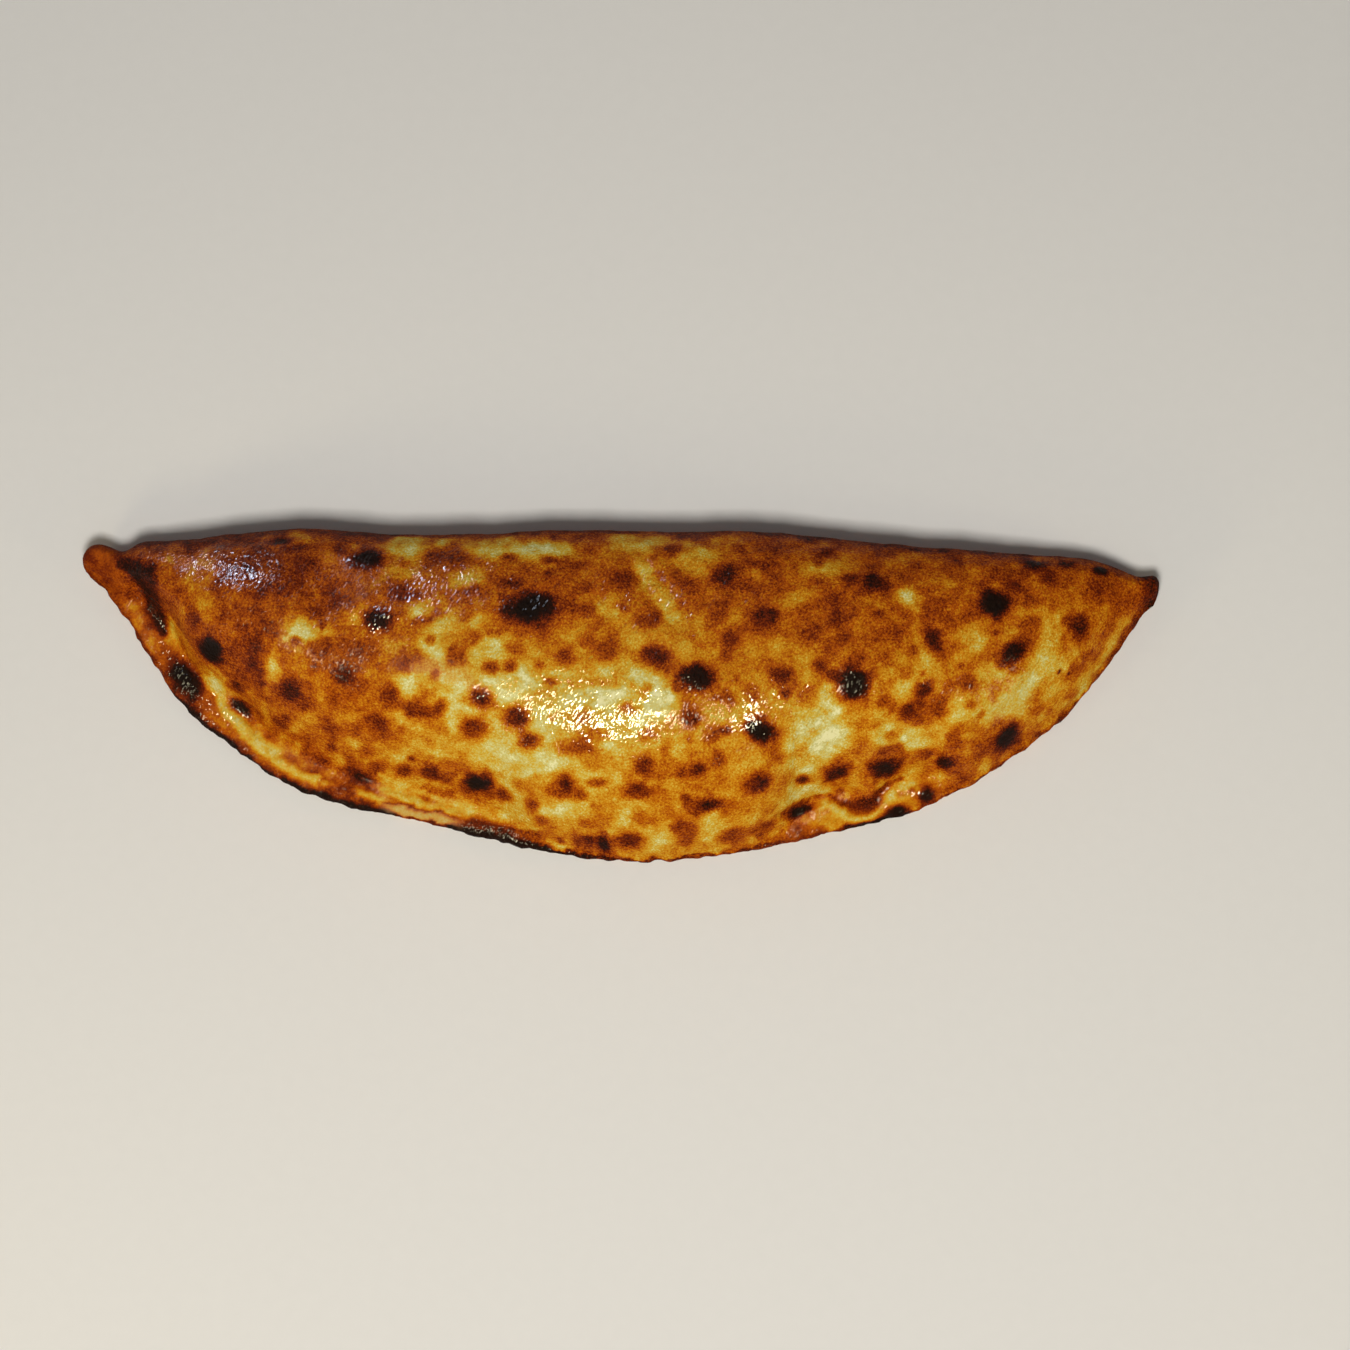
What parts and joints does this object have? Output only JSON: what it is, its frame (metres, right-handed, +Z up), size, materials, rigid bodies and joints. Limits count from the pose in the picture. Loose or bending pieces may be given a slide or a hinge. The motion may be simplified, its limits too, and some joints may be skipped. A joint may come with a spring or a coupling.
{
  "type": "closed minced meat pide",
  "caption": "Closed half-moon pide of golden, scorched dough folded over a hidden minced meat filling, with a pressed and crimped edge and tapered ends.",
  "frame": {"origin": "middle of the bread's outline at the surface it rests on", "axes": "+X along the bread towards its blunt tip, +Y across it towards the rounded fold, +Z up from its flat underside"},
  "size_m": [0.3, 0.0912, 0.036],
  "materials": {
    "baked_crust": "buttered, golden with scorched spots"
  },
  "bodies": {
    "root": {"pide_bread": "baked_crust"}
  },
  "joints": []
}
